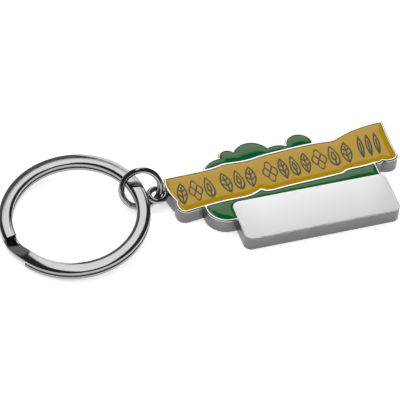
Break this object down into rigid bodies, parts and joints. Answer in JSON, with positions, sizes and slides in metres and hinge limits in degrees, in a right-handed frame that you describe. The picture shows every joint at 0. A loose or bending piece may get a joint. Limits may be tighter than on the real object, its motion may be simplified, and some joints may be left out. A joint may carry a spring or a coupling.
{
  "type": "enamelled charm keychain",
  "caption": "Keychain with a flat enamelled metal charm, a blank name plate along its edge, and a split key ring joined by a jump ring.",
  "frame": {"origin": "centre of the name plate on the charm's flat back, which lies on the table", "axes": "+Z out of the enamelled face, +X along the name plate away from the key ring, +Y from the name plate towards the hedge"},
  "size_m": [0.0775, 0.0281, 0.008],
  "materials": {
    "casting": "polished nickel plate, satin on the blank name plate and the side walls",
    "gunmetal": "polished black nickel plate",
    "yellow_enamel": "glossy hard enamel, ochre yellow",
    "green_enamel": "glossy hard enamel, leaf green",
    "dark_line": "dark grey printed line"
  },
  "bodies": {
    "charm": {"charm_casting": "casting", "banner_enamel": "yellow_enamel", "hedge_top_enamel": "green_enamel", "hedge_foot_enamel": "green_enamel", "eyelet": "gunmetal", "banner_leaf_1": "dark_line", "banner_blossom_1": "dark_line", "banner_bud_1": "dark_line", "banner_leaf_2": "dark_line", "banner_bud_2": "dark_line", "banner_leaf_3": "dark_line", "banner_blossom_2": "dark_line", "banner_leaf_4": "dark_line", "banner_bud_3": "dark_line", "banner_leaf_5": "dark_line", "banner_blossom_3": "dark_line", "banner_bud_4": "dark_line", "banner_leaf_6": "dark_line", "banner_slim_leaf_1": "dark_line", "banner_slim_leaf_2": "dark_line", "banner_slim_leaf_3": "dark_line"},
    "jump_ring": {"jump_ring": "gunmetal"},
    "split_ring": {"split_ring": "gunmetal"}
  },
  "joints": [
    {"name": "jump_ring_swing", "type": "hinge", "parent": "charm", "child": "jump_ring", "pos_m": [-0.02894, 0.00969, 0.0025], "axis": [0.6018, -0.7986, 0], "range_deg": [-2, 75]},
    {"name": "split_ring_swing", "type": "hinge", "parent": "jump_ring", "child": "split_ring", "pos_m": [-0.03166, 0.01166, 0.00429], "axis": [-0.2002, 0.9797, 0.0137], "range_deg": [-60, 120]}
  ]
}
